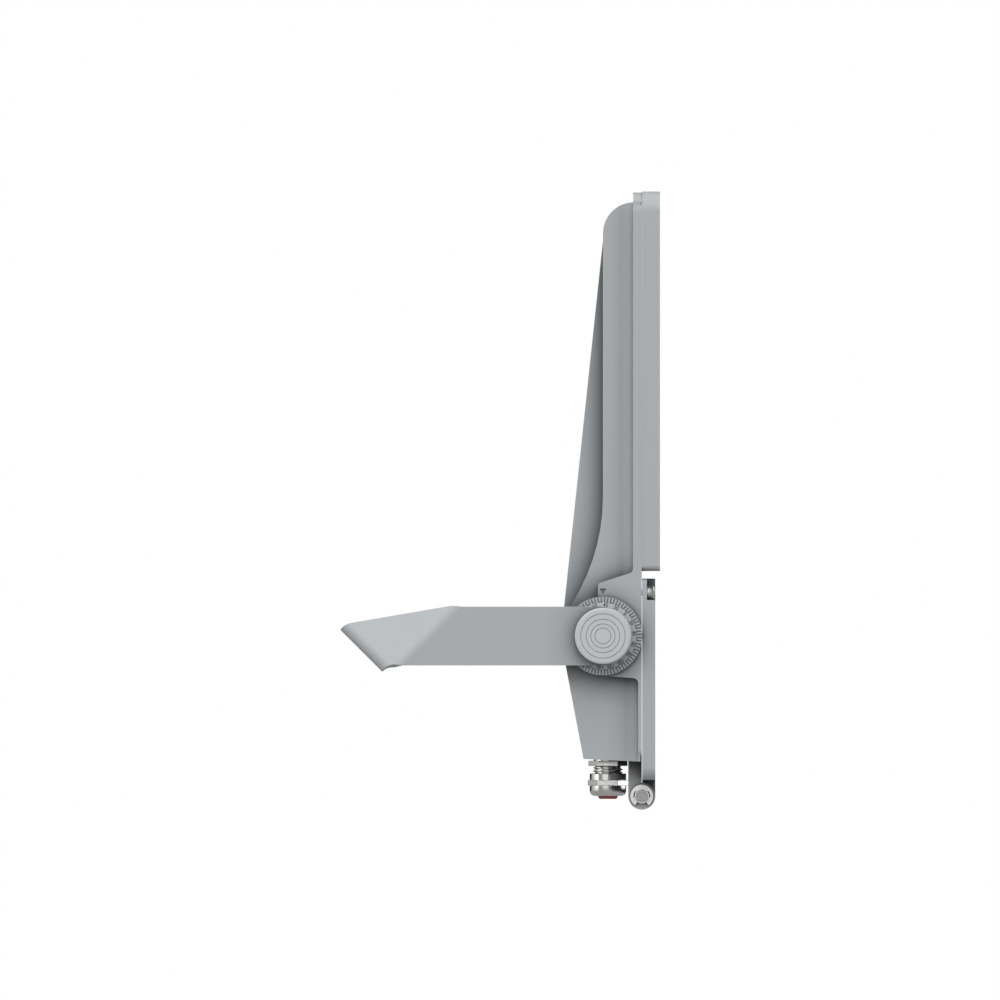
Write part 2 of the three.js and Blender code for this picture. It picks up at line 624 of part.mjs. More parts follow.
function leadGrommet() {
  const lip = 1.6;
  const profile = [
    [2.7, PARTITION_BOTTOM - GAP - lip],
    [7, PARTITION_BOTTOM - GAP - lip],
    [7, PARTITION_BOTTOM - GAP],
    [5, PARTITION_BOTTOM - GAP],
    [5, PARTITION_TOP + 3],
    [2.7, PARTITION_TOP + 3],
  ];
  return solid(turned(profile, 16).rotateX(Math.PI / 2).translate(LEAD_PLACE[0], LEAD_PLACE[1], 0));
}

/** The lead from the driver up through the partition to the LED boards. */
function lampLead() {
  const [x, y] = LEAD_PLACE;
  return lead([[x, y, 20.5], [x, y, 32], [x, y, 54], [x - 2, y + 1, 62], [x - 8, y + 2, 68]], 2.2, 14);
}

/** One of the three leads between the terminal block and the driver. */
function inputLead(index) {
  const z = -46 + 5 * index;
  const bow = 3 + 2 * index;
  const y = -4;
  const route = [[52.5, y, z], [54.5, y, z], [61, y - bow, z], [71, y - bow, z], [77, y, z], [79.5, y, z]];
  return lead(route, 1.3, 12);
}

// ---------------------------------------------------------------- cable gland

/** A hexagonal prism about the gland's axis, with one flat facing left. */
function glandHex(radius, reach) {
  return bar('z', radius, reach, [GLAND_X, GLAND_Y], 6, Math.PI / 6);
}

function glandRound(radius, reach, sides = 24) {
  return bar('z', radius, reach, [GLAND_X, GLAND_Y], sides);
}

const GLAND_FLANGE = [-88.4, -84.8];
const GLAND_NUT = [-108.8, -93.5];

function glandBody() {
  const thread = glandRound(GLAND_THREAD_RADIUS, [-100.5, -71], 28);
  return thread.add(glandHex(GLAND_HEX_RADIUS, GLAND_FLANGE))
    .subtract(glandRound(GLAND_BORE_RADIUS, [-101, -70]));
}

/** The thin nut that holds the gland from inside the compartment. */
function glandLocknut() {
  return glandHex(GLAND_HEX_RADIUS, [-79, -74]).subtract(glandRound(GLAND_THREAD_RADIUS + GAP, [-80, -73]));
}

/** The domed clamping nut: a collar, a hexagonal belt and a rounded end. */
function glandNut() {
  const [bottom, top] = GLAND_NUT;
  const radius = 12.4;
  const round = 3.5;
  const profile = [
    [8.1, bottom],
    ...arc(radius - round, bottom + round, round, -Math.PI / 2, 0, 5),
    [radius, top],
    [GLAND_THREAD_RADIUS + GAP + 0.1, top],
    [GLAND_THREAD_RADIUS + GAP + 0.1, -102.5],
    [8.1, -104.5],
  ];
  const dome = solid(turned(profile, 28).rotateX(Math.PI / 2).translate(GLAND_X, GLAND_Y, 0));
  const belt = glandHex(13.8, [-101.9, -97.8]).subtract(glandRound(radius - 0.5, [-102, -97]));
  return dome.add(belt);
}

/** The rubber insert that the nut squeezes round a cable, standing out of the nut's end. */
function glandSeal() {
  const inner = 3.2;
  const profile = [
    [inner, -110.8],
    [5.9, -110.8],
    [6.9, -108.9],
    [6.9, -92],
    [inner, -92],
  ];
  return solid(turned(profile, 20).rotateX(Math.PI / 2).translate(GLAND_X, GLAND_Y, 0));
}

// ---------------------------------------------------------------- driver cover and its hinge

const KNUCKLE_INNER = HINGE_LUG_INNER - 0.6 - KNUCKLE_WIDTH;
const CLIP_X = HINGE_LUG_OUTER + GAP;
const CLIP_THICKNESS = 1.2;

function driverCover() {
  const outline = roundedRectangle([-HALF_WIDTH, HALF_WIDTH], [COVER_BOTTOM, COVER_TOP], LOWER_CORNER_RADIUS, 3);
  const panel = alongY(outline, [COVER_FRONT, SEAT_FRONT]);
  const reach = [KNUCKLE_INNER, KNUCKLE_INNER + KNUCKLE_WIDTH];
  const web = box(reach, [COVER_FRONT, SEAT_FRONT], [HINGE_Z, COVER_BOTTOM + 2]);
  const knuckle = web.add(bar('x', HINGE_LUG_RADIUS, reach, [HINGE_Y, HINGE_Z], 32));
  const notch = box([HALF_WIDTH - NOTCH_WIDTH, HALF_WIDTH + 1], [COVER_FRONT - 1, NOTCH_BACK],
    [NOTCH_BOTTOM, COVER_TOP + 1]);
  const seatX = COVER_GASKET_HALF_WIDTH + 0.3;
  const seatZ = [COVER_GASKET_BOTTOM - 0.3, COVER_GASKET_TOP + 0.3];
  const pocketX = COVER_GASKET_HALF_WIDTH - COVER_GASKET_WIDTH - 0.4;
  const pocketZ = [COVER_GASKET_BOTTOM + COVER_GASKET_WIDTH + 0.4, COVER_GASKET_TOP - COVER_GASKET_WIDTH - 0.4];
  return cut(union([panel, ...bothSides(knuckle)]), [
    ...bothSides(notch),
    alongY(roundedRectangle([-seatX, seatX], seatZ, 7), [NOTCH_BACK + 0.1, SEAT_FRONT + 1]),
    alongY(roundedRectangle([-pocketX, pocketX], pocketZ, 4), [COVER_FRONT + COVER_SKIN, SEAT_FRONT]),
    ...COVER_SCREW_PLACES.map((place) => bar('y', 2.9, [COVER_FRONT, SEAT_FRONT + 1], place, 16)),
    bar('x', HINGE_PIN_RADIUS + 0.5, [-HALF_WIDTH, HALF_WIDTH], [HINGE_Y, HINGE_Z]),
  ]);
}

/** The hinge pin, with a groove near each end for its clip. */
function hingePin() {
  const end = CLIP_X + CLIP_THICKNESS + 1.8;
  const groove = [CLIP_X - 0.2, CLIP_X + CLIP_THICKNESS + 0.2];
  const grooveRadius = 3.4;
  const collar = bar('x', HINGE_PIN_RADIUS + 1, groove, [HINGE_Y, HINGE_Z])
    .subtract(bar('x', grooveRadius, groove, [HINGE_Y, HINGE_Z], 20));
  return cut(bar('x', HINGE_PIN_RADIUS, [-end, end], [HINGE_Y, HINGE_Z]), bothSides(collar));
}

/** An E-shaped clip on the pin, open downwards, with three teeth that reach into the groove. */
function hingeClip() {
  const reach = [CLIP_X, CLIP_X + CLIP_THICKNESS];
  const at = [HINGE_Y, HINGE_Z];
  const ring = bar('x', 8.2, reach, at, 32).subtract(bar('x', 5.4, [reach[0] - 1, reach[1] + 1], at, 32));
  const halfMouth = 3.3;
  const mouth = box([reach[0] - 1, reach[1] + 1], [HINGE_Y - halfMouth, HINGE_Y + halfMouth], [HINGE_Z - 9, HINGE_Z]);
  const teeth = [0, Math.PI / 2, Math.PI].map((angle) => {
    const tooth = box(reach, [3.8, 6], [-1.8, 1.8]);
    return tooth.rotate([THREE.MathUtils.radToDeg(angle), 0, 0]).translate([0, HINGE_Y, HINGE_Z]);
  });
  return union([ring.subtract(mouth), ...teeth]);
}

/** A captive cover screw: a low round head, a waisted neck and a short thread. */
function coverScrew() {
  const front = -35;
  const headBack = NOTCH_BACK - GAP;
  const head = bar('y', 4.75, [front, headBack], [0, 0], 28);
  const neck = bar('y', 1.9, [headBack - 0.5, -26], [0, 0], 16);
  const thread = bar('y', 2.4, [-26.5, COVER_SCREW_TIP], [0, 0], 16);
  const socket = bar('y', 2.3, [front - 1, front + 2.6], [0, 0], 6);
  return union([head, neck, thread]).subtract(socket);
}

function threadInsert() {
  const reach = [-23.5, -16];
  return bar('y', 4, reach, [0, 0], 16).subtract(bar('y', 3, [reach[0] - 1, reach[1] + 1], [0, 0], 16));
}

// ---------------------------------------------------------------- tilt pivot hardware

function frictionWasher() {
  const reach = [PAD_X + GAP, PAD_X + GAP + WASHER_THICKNESS];
  return bar('x', 20, reach, [0, 0], 32).subtract(bar('x', PIVOT_HOLE_RADIUS, [PAD_X, DIAL_X], [0, 0]));
}

const BOLT_HEAD_X = ARM_OUTER_X + GAP;

function pivotBolt() {
  const head = bar('x', 9.2, [BOLT_HEAD_X, BOLT_HEAD_X + 6.4], [0, 0], 6);
  return head.add(bar('x', PIVOT_BOLT_RADIUS, [148, BOLT_HEAD_X + 1], [0, 0]));
}

/** The round cap over a pivot bolt: a shallow cup. */
function pivotCap() {
  const inner = BOLT_HEAD_X;
  const outer = inner + CAP_HEIGHT;
  const skin = 2;
  const round = 1.2;
  const rim = arc(CAP_RADIUS - round, outer - round, round, Math.PI / 2, 0, 3);
  const profile = [[0, outer], ...rim, [CAP_RADIUS, inner], [CAP_RADIUS - skin, inner],
    [CAP_RADIUS - skin, outer - skin], [0, outer - skin]];
  return solid(turned(profile, 36).rotateZ(-Math.PI / 2));
}

// ---------------------------------------------------------------- assembly

const light = new THREE.Group();
const pivoted = new THREE.Group();
const head = new THREE.Group();
pivoted.position.copy(PIVOT);
head.position.copy(PIVOT);
light.add(pivoted, head);

/** Adds a body that is drawn on the +X side once on each side. */
function pair(name, body, material, parent) {
  for (const { name: side, sign } of SIDES) {
    piece(`${name}_${side}`, sign > 0 ? body : body.mirror([1, 0, 0]), material, parent);
  }
}

/** Adds a body that is drawn about the Y axis once at each [x, z] place. */
function row(names, body, material, places) {
  names.forEach((name, i) => piece(name, body, material, head).position.set(places[i][0], 0, places[i][1]));
}

const numbered = (name, count) => Array.from({ length: count }, (_, i) => `${name}_${i + 1}`);
const sided = (name) => SIDES.map((side) => `${name}_${side.name}`);

piece('yoke_bracket', yokeBracket(), PAINT, pivoted);
pair('dial', dial(), DIAL_PLASTIC, pivoted);

piece('housing', housing(), PAINT, head);
piece('front_frame', frontFrame(), PAINT, head);
piece('front_glass', frontGlass(), GLASS, head);
piece('glass_gasket', gasket(GLASS_HALF_WIDTH - 0.8, [GLASS_BOTTOM + 0.8, GLASS_TOP - 0.8],
  GLASS_GASKET_WIDTH, [GLASS_BACK + GAP, SEAT_FRONT]), RUBBER, head);
row(numbered('frame_screw', FRAME_SCREW_PLACES.length), socketScrew(3.8, [-38.3, -34.9], 2, -17),
  STEEL, FRAME_SCREW_PLACES);

pair('led_board', ledBoard(), BOARD_WHITE, head);
pair('lens_plate', lensPlate(), CLEAR_PLASTIC, head);
piece('light_mask', lightMask(), BOARD_WHITE, head);

piece('gear_tray', gearTray(), STEEL, head);
row(sided('tray_screw'), socketScrew(3.8, [0.3, ON_TRAY], 2, 15), STEEL, TRAY_SCREW_PLACES);
piece('led_driver', ledDriver(), BLACK_PLASTIC, head);
piece('terminal_block', terminalBlock(), BLACK_PLASTIC, head);
piece('surge_protector', surgeProtector(), BLACK_PLASTIC, head);
piece('lead_grommet', leadGrommet(), RUBBER, head);
piece('lamp_lead', lampLead(), BLACK_PLASTIC, head);
[LEAD_RED, LEAD_BLUE, LEAD_GREEN].forEach((colour, i) => piece(`input_lead_${i + 1}`, inputLead(i), colour, head));

piece('gland_body', glandBody(), NICKEL, head);
piece('gland_locknut', glandLocknut(), NICKEL, head);
piece('gland_nut', glandNut(), NICKEL, head);
piece('gland_seal', glandSeal(), SEAL_RUBBER, head);

piece('driver_cover', driverCover(), PAINT, head);
piece('cover_gasket', gasket(COVER_GASKET_HALF_WIDTH, [COVER_GASKET_BOTTOM, COVER_GASKET_TOP],
  COVER_GASKET_WIDTH, [NOTCH_BACK + 0.4, SEAT_FRONT]), RUBBER, head);
row(sided('cover_screw'), coverScrew(), STEEL, COVER_SCREW_PLACES);
row(sided('thread_insert'), threadInsert(), BRASS, COVER_SCREW_PLACES);
piece('hinge_pin', hingePin(), STEEL, head);
pair('hinge_clip', hingeClip(), STEEL, head);

pair('friction_washer', frictionWasher(), STEEL, head);
pair('pivot_bolt', pivotBolt(), STEEL, head);
pair('pivot_cap', pivotCap(), CAP_PLASTIC, head);

export default light;
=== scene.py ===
"""Looks for the yoke-mounted area floodlight: finishes, fine pieces, studio and side-view camera."""

import json
import math

import bmesh
import bpy
from mathutils import Matrix, Vector


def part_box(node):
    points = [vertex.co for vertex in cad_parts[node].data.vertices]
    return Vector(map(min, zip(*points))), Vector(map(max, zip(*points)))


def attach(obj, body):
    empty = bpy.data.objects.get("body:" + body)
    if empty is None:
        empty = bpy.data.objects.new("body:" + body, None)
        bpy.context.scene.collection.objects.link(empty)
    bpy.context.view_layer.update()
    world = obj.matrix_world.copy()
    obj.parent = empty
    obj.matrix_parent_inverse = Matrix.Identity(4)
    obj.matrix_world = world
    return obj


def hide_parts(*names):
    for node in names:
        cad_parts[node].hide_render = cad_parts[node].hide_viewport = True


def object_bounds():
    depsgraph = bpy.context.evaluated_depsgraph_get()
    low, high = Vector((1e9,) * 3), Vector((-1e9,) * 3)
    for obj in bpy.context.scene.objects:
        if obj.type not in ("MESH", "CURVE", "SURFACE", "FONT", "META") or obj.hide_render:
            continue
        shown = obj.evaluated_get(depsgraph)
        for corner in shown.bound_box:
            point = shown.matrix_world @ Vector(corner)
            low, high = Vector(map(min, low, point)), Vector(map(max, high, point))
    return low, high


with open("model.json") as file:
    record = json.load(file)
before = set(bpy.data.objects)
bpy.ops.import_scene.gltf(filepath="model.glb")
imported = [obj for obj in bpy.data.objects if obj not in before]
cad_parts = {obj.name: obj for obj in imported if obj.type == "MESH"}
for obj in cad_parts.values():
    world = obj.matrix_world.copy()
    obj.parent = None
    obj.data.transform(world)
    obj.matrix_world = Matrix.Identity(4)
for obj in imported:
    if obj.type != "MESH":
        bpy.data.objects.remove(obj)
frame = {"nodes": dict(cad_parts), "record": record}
CAD_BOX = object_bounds()

MM = 0.001
JOINTS = {joint["name"]: joint for joint in frame["record"]["behaviour"]["joints"]}
PIVOT = Vector(JOINTS["head_tilt"]["pos_m"])
HINGE = Vector(JOINTS["cover_swing"]["pos_m"])
GLAND = Vector(JOINTS["gland_nut_turn"]["pos_m"])
SIDES = {"left": -1, "right": 1}

# the camera, in metres: how far it is from the tilt axis's centre, and how wide it sees
CAMERA_OFFSET = Vector((-2.0, 0.070, 0.0925))
CAMERA_WIDTH = 0.68

# the studio, in metres: lights are placed from a point a little above the tilt axis
LIGHT_TARGET = PIVOT + Vector((0, 0, 0.09))
KEY_DIRECTION = Vector((-0.66, 0.20, 0.72)).normalized()
KEY_DISTANCE = 1.6
KEY_SIZE = (1.5, 1.5)
KEY_WATTS = 3
FILL_OFFSET = Vector((0.75, -1.4, 0.45))
FILL_SIZE = (1.4, 1.4)
FILL_WATTS = 14
FLOOR_SIZE = 6
FLOOR_DROP = 0.16
TENT_STRENGTH = 0.74
# (position, level): from facing away from the key to facing it
TENT_STOPS = [(0, 0.26), (0.5, 0.30), (0.75, 0.95), (1, 2.7)]
# (position, level) once round the horizon, from the lamp's right through its rear, left and front
FLAG_STOPS = [
    (0.00, 0.10), (0.13, 0.12), (0.17, 2.6), (0.31, 2.8), (0.34, 0.36), (0.39, 0.36),
    (0.42, 0.84), (0.53, 0.84), (0.57, 0.02), (0.76, 0.02), (0.81, 0.35), (1.00, 0.3),
]


# ---------------------------------------------------------------- camera and studio

def make_camera():
    """The view from the lamp's left, square to its side and far enough off to look flat."""
    camera_data = bpy.data.cameras.new("camera")
    camera_data.type = "ORTHO"
    camera_data.ortho_scale = CAMERA_WIDTH
    camera_data.clip_end = 10
    camera = bpy.data.objects.new("camera", camera_data)
    camera.location = PIVOT + CAMERA_OFFSET
    camera.rotation_euler = (math.radians(90), 0, math.radians(-90))
    bpy.context.collection.objects.link(camera)
    bpy.context.scene.camera = camera


def make_area_light(name, place, size, watts):
    """A soft rectangular light that looks at the middle of the lamp."""
    light_data = bpy.data.lights.new(name, "AREA")
    light_data.shape = "RECTANGLE"
    light_data.size, light_data.size_y = size
    light_data.energy = watts
    light = bpy.data.objects.new(name, light_data)
    light.location = place
    light.rotation_euler = (LIGHT_TARGET - place).to_track_quat("-Z", "Y").to_euler()
    bpy.context.collection.objects.link(light)


def tent_ramp(nodes, links, value, stops):
    """A grey level read off a list of (position, level) stops."""
    ramp = nodes.new("ShaderNodeValToRGB")
    elements = ramp.color_ramp.elements
    elements[0].position, elements[1].position = stops[0][0], stops[-1][0]
    for position, _ in stops[1:-1]:
        elements.new(position)
    for element, (position, level) in zip(elements, stops):
        element.position = position
        element.color = (level, level, level, 1)
    links.new(value, ramp.inputs["Fac"])
    return ramp.outputs["Color"]


def make_world():
    """White behind the lamp; round it a soft tent, brightest high on its left rear, with dark flags."""
    world = bpy.data.worlds.new("studio")
    world.use_nodes = True
    bpy.context.scene.world = world
    nodes, links = world.node_tree.nodes, world.node_tree.links
    nodes.clear()
    direction = nodes.new("ShaderNodeTexCoord").outputs["Generated"]
    towards_key = nodes.new("ShaderNodeVectorMath")
    towards_key.operation = "DOT_PRODUCT"
    towards_key.inputs[1].default_value = KEY_DIRECTION
    key_height = nodes.new("ShaderNodeMapRange")
    key_height.inputs["From Min"].default_value = -1
    links.new(direction, towards_key.inputs[0])
    links.new(towards_key.outputs["Value"], key_height.inputs["Value"])
    tent = tent_ramp(nodes, links, key_height.outputs["Result"], TENT_STOPS)

    turned = nodes.new("ShaderNodeVectorRotate")
    turned.rotation_type = "Z_AXIS"
    turned.inputs["Angle"].default_value = math.radians(180)
    around = nodes.new("ShaderNodeTexGradient")
    around.gradient_type = "RADIAL"
    links.new(direction, turned.inputs["Vector"])
    links.new(turned.outputs[0], around.inputs[0])
    flags = tent_ramp(nodes, links, around.outputs["Fac"], FLAG_STOPS)
    flagged = nodes.new("ShaderNodeMix")
    flagged.data_type = "RGBA"
    flagged.blend_type = "MULTIPLY"
    seen = nodes.new("ShaderNodeLightPath")
    links.new(seen.outputs["Is Glossy Ray"], flagged.inputs["Factor"])
    links.new(tent, flagged.inputs["A"])
    links.new(flags, flagged.inputs["B"])

    lit = nodes.new("ShaderNodeBackground")
    lit.inputs["Strength"].default_value = TENT_STRENGTH
    white = nodes.new("ShaderNodeBackground")
    white.inputs["Color"].default_value = (1, 1, 1, 1)
    mix = nodes.new("ShaderNodeMixShader")
    output = nodes.new("ShaderNodeOutputWorld")
    links.new(flagged.outputs["Result"], lit.inputs["Color"])
    links.new(seen.outputs["Is Camera Ray"], mix.inputs["Fac"])
    links.new(lit.outputs[0], mix.inputs[1])
    links.new(white.outputs[0], mix.inputs[2])
    links.new(mix.outputs[0], output.inputs[0])


def make_floor():
    """A plain floor, pale to the camera and dim to other rays, so it throws little light back up."""
    level = CAD_BOX[0][2] - FLOOR_DROP
    bpy.ops.mesh.primitive_plane_add(size=FLOOR_SIZE, location=(0, PIVOT.y, level))
    floor = bpy.context.object
    floor.name = "floor"
    material = bpy.data.materials.new("floor_paper")
    material.use_nodes = True
    nodes, links = material.node_tree.nodes, material.node_tree.links
    pale = nodes["Principled BSDF"]
    pale.inputs["Base Color"].default_value = (0.86, 0.86, 0.86, 1)
    pale.inputs["Roughness"].default_value = 0.9
    dim = nodes.new("ShaderNodeBsdfDiffuse")
    dim.inputs["Color"].default_value = (0.35, 0.35, 0.35, 1)
    seen = nodes.new("ShaderNodeLightPath")
    mix = nodes.new("ShaderNodeMixShader")
    links.new(seen.outputs["Is Camera Ray"], mix.inputs["Fac"])
    links.new(dim.outputs[0], mix.inputs[1])
    links.new(pale.outputs[0], mix.inputs[2])
    links.new(mix.outputs[0], nodes["Material Output"].inputs["Surface"])
    floor.data.materials.append(material)


def make_studio():
    make_world()
    make_floor()
    make_area_light("key", LIGHT_TARGET + KEY_DISTANCE * KEY_DIRECTION, KEY_SIZE, KEY_WATTS)
    make_area_light("fill", LIGHT_TARGET + FILL_OFFSET, FILL_SIZE, FILL_WATTS)


# ---------------------------------------------------------------- materials

def new_material(name, base, roughness, metallic=0.0, specular=0.5):
    material = bpy.data.materials.new(name)
    material.use_nodes = True
    shader = material.node_tree.nodes["Principled BSDF"]
    shader.inputs["Base Color"].default_value = (*base, 1)
    shader.inputs["Roughness"].default_value = roughness
    shader.inputs["Metallic"].default_value = metallic
    shader.inputs["Specular IOR Level"].default_value = specular
    return material


class Graph:
    """Short ways to add nodes to one material, all in object metres."""

    def __init__(self, material):
        self.tree = material.node_tree
        self.shader = self.tree.nodes["Principled BSDF"]
        self.place = self.tree.nodes.new("ShaderNodeTexCoord").outputs["Object"]

    def add(self, kind, links=(), **values):
        node = self.tree.nodes.new("ShaderNode" + kind)
        for name, value in values.items():
            if name in node.inputs:
                node.inputs[name].default_value = value
            else:
                setattr(node, name, value)
        for name, source in dict(links).items():
            self.tree.links.new(source, node.inputs[name])
        return node

    def noise(self, scale, detail=3.0, stretch=None):
        """A noise of about 1 / scale metres per feature, longer along an axis where stretch is small."""
        place = self.place
        if stretch:
            mapping = self.add("Mapping", {"Vector": place})
            mapping.inputs["Scale"].default_value = stretch
            place = mapping.outputs[0]
        node = self.add("TexNoise", {"Vector": place}, Scale=scale, Detail=detail)
        return node.outputs["Fac"]

    def ranged(self, value, low, high, from_low=0.3, from_high=0.7):
        node = self.add("MapRange", {"Value": value})
        node.inputs["From Min"].default_value = from_low
        node.inputs["From Max"].default_value = from_high
        node.inputs["To Min"].default_value = low
        node.inputs["To Max"].default_value = high
        return node.outputs["Result"]

    def blend(self, factor, first, second):
        """A colour that goes from first to second as factor goes from 0 to 1."""
        ramp = self.add("ValToRGB", {"Fac": factor})
        ramp.color_ramp.elements[0].color = (*first, 1)
        ramp.color_ramp.elements[1].color = (*second, 1)
        return ramp.outputs["Color"]

    def edges(self, radius):
        """About 0 on flat faces, rising to 1 on the rims and corners within radius."""
        rounded = self.add("Bevel", Radius=radius, samples=4)
        true_normal = self.add("NewGeometry").outputs["Normal"]
        dot = self.add("VectorMath", operation="DOT_PRODUCT")
        self.tree.links.new(rounded.outputs[0], dot.inputs[0])
        self.tree.links.new(true_normal, dot.inputs[1])
        return self.ranged(dot.outputs["Value"], 1.0, 0.0, 0.75, 0.995)

    def painted_recess_shade(self, colour, depth, darkest):
        """Painted shade: a colour that darkens to its share darkest in corners and slots narrower than
        depth, where shade falls.
        """
        open_air = self.add("AmbientOcclusion", Distance=depth, samples=12)
        shade = self.ranged(open_air.outputs["AO"], darkest, 1.0, 0.42, 1.0)
        mix = self.add("Mix", data_type="RGBA", blend_type="MULTIPLY")
        mix.inputs["Factor"].default_value = 1.0
        self.tree.links.new(colour, mix.inputs["A"])
        self.tree.links.new(shade, mix.inputs["B"])
        return mix.outputs["Result"]

    def bump(self, height, strength, distance, normal=None):
        node = self.add("Bump", {"Height": height}, Strength=strength, Distance=distance)
        if normal:
            self.tree.links.new(normal, node.inputs["Normal"])
        return node.outputs["Normal"]

    def to(self, socket, source):
        self.tree.links.new(source, self.shader.inputs[socket])


def powder_coat(name, colour, rim_wear_and_highlight, rim_wear_and_highlight_share=0.35):
    """Grey powder coat: fine orange peel, faint cloudiness, lighter on the rims (worn thinner there, plus
    a painted highlight), with painted shade in corners and slots.
    """
    material = new_material(name, colour, 0.5, specular=0.4)
    graph = Graph(material)
    clouds = graph.noise(9, 2)
    darker = [channel * 0.965 for channel in colour]
    cloudy = graph.blend(clouds, darker, colour)
    # the rims lighten towards a lighter colour: partly worn-thin coat, partly a painted highlight
    rim_wear_and_highlight_mask = graph.ranged(graph.edges(0.0011), 0.0, rim_wear_and_highlight_share, 0.0, 1.0)
    mix = graph.add("Mix", data_type="RGBA")
    graph.tree.links.new(rim_wear_and_highlight_mask, mix.inputs["Factor"])
    graph.tree.links.new(cloudy, mix.inputs["A"])
    mix.inputs["B"].default_value = (*rim_wear_and_highlight, 1)
    # painted shade: the coat darkens in corners and slots within 22 mm
    graph.to("Base Color", graph.painted_recess_shade(mix.outputs["Result"], 22 * MM, 0.16))
    graph.to("Roughness", graph.ranged(graph.noise(140, 2), 0.46, 0.58))
    peel = graph.bump(graph.noise(900, 2), 0.16, 0.0002)
    graph.to("Normal", graph.bump(graph.noise(3200, 1), 0.12, 0.00005, peel))
    return material


def moulded_plastic(name, colour, roughness, grain=2600):
    """Moulded plastic with a fine spark-eroded grain and slight gloss changes."""
    material = new_material(name, colour, roughness, specular=0.45)
    graph = Graph(material)
    graph.to("Base Color", graph.blend(graph.noise(22, 3), [c * 0.96 for c in colour], colour))
    graph.to("Roughness", graph.ranged(graph.noise(90, 3), roughness - 0.05, roughness + 0.07))
    graph.to("Normal", graph.bump(graph.noise(grain, 2), 0.2, 0.00006))
    return material


def turned_metal(name, colour, roughness, stretch=(1, 1, 1)):
    """Machined metal: tool marks, a little dullness and small stains."""
    material = new_material(name, colour, roughness, metallic=1.0)
    graph = Graph(material)
    graph.to("Base Color", graph.blend(graph.noise(60, 4), [c * 0.88 for c in colour], colour))
    graph.to("Roughness", graph.ranged(graph.noise(400, 3, stretch), roughness - 0.06, roughness + 0.1))
    graph.to("Normal", graph.bump(graph.noise(1500, 2, stretch), 0.12, 0.00004))
    return material


def soft_rubber(name, colour, roughness=0.75):
    """Moulded rubber with a matt skin and dusty hollows."""
    material = new_material(name, colour, roughness, specular=0.3)
    graph = Graph(material)
    hollows = [c * 0.8 for c in colour]
    dusty = [c * 1.15 for c in colour]
    graph.to("Base Color", graph.blend(graph.noise(120, 4), hollows, dusty))
    graph.to("Roughness", graph.ranged(graph.noise(260, 3), roughness - 0.1, roughness + 0.1))
    graph.to("Normal", graph.bump(graph.noise(1800, 2), 0.25, 0.0001))
    return material


def clear_pane(name, tint, roughness, cover):
    """Clear glass or plastic that doesn't bend what is behind it; cover is how much one face hides."""
    material = new_material(name, tint, roughness, specular=0.9)
    shader = material.node_tree.nodes["Principled BSDF"]
    shader.inputs["Alpha"].default_value = cover
    shader.inputs["Coat Weight"].default_value = 0.4
    graph = Graph(material)
    graph.to("Roughness", graph.ranged(graph.noise(14, 4), roughness, roughness + 0.06))
    graph.to("Normal", graph.bump(graph.noise(9, 2), 0.02, 0.0004))
    return material


# the third colour is the rims' lighter colour: worn coat and painted highlight
PAINT = powder_coat("grey_powder_coat", (0.392, 0.413, 0.428), (0.51, 0.532, 0.546))
CAP_PLASTIC = moulded_plastic("light_grey_plastic", (0.50, 0.522, 0.526), 0.42)
DIAL_PLASTIC = moulded_plastic("dial_grey_plastic", (0.40, 0.416, 0.424), 0.5)
DIAL_MARKS = moulded_plastic("dial_mark_grey", (0.06, 0.063, 0.066), 0.6)
DIAL_HOLLOW = moulded_plastic("dial_hollow_grey", (0.20, 0.208, 0.212), 0.65)
STAINLESS = turned_metal("turned_stainless", (0.62, 0.62, 0.61), 0.38)
NICKEL = turned_metal("nickel_plate", (0.78, 0.77, 0.755), 0.1, (1, 1, 6))
BRASS = turned_metal("machined_brass", (0.68, 0.50, 0.22), 0.25)
TRAY_STEEL = turned_metal("zinc_sheet", (0.55, 0.56, 0.58), 0.4)
SEAL_RUBBER = soft_rubber("seal_red_brown", (0.36, 0.10, 0.075))
BRIGHT_ZINC = turned_metal("bright_zinc", (0.93, 0.93, 0.92), 0.5)
PIN_STEEL = turned_metal("sawn_pin_steel", (0.46, 0.465, 0.47), 0.5)
PHOSPHOR = moulded_plastic("led_phosphor", (0.85, 0.62, 0.10), 0.35)
GASKET_RUBBER = soft_rubber("black_silicone", (0.018, 0.019, 0.02))
GLASS = clear_pane("clear_glass", (0.55, 0.60, 0.60), 0.03, 0.04)
LENS_PLASTIC = clear_pane("clear_lens_plastic", (0.80, 0.83, 0.84), 0.06, 0.17)
BOARD_WHITE = moulded_plastic("white_solder_mask", (0.78, 0.79, 0.77), 0.4)
BLACK_PLASTIC = moulded_plastic("black_plastic", (0.022, 0.023, 0.025), 0.5)
LEAD_RED = moulded_plastic("red_lead_jacket", (0.30, 0.02, 0.018), 0.4)
LEAD_BLUE = moulded_plastic("blue_lead_jacket", (0.025, 0.07, 0.25), 0.4)
LEAD_GREEN = moulded_plastic("green_lead_jacket", (0.11, 0.26, 0.04), 0.4)

SLOT_MATERIALS = {
    "cast_paint": PAINT, "bar_paint": PAINT, "cap_plastic": CAP_PLASTIC, "dial_plastic": DIAL_PLASTIC,
    "glass": GLASS, "gasket_rubber": GASKET_RUBBER, "seal_rubber": SEAL_RUBBER, "stainless": STAINLESS,
    "nickel": NICKEL, "brass": BRASS, "board_white": BOARD_WHITE, "clear_plastic": LENS_PLASTIC,
    "tray_steel": TRAY_STEEL, "black_plastic": BLACK_PLASTIC, "lead_red": LEAD_RED,
    "lead_blue": LEAD_BLUE, "lead_green": LEAD_GREEN,
}
NODE_SLOTS = {part["node"]: part["material_slot"] for part in frame["record"]["subparts"]}


# ---------------------------------------------------------------- mesh helpers

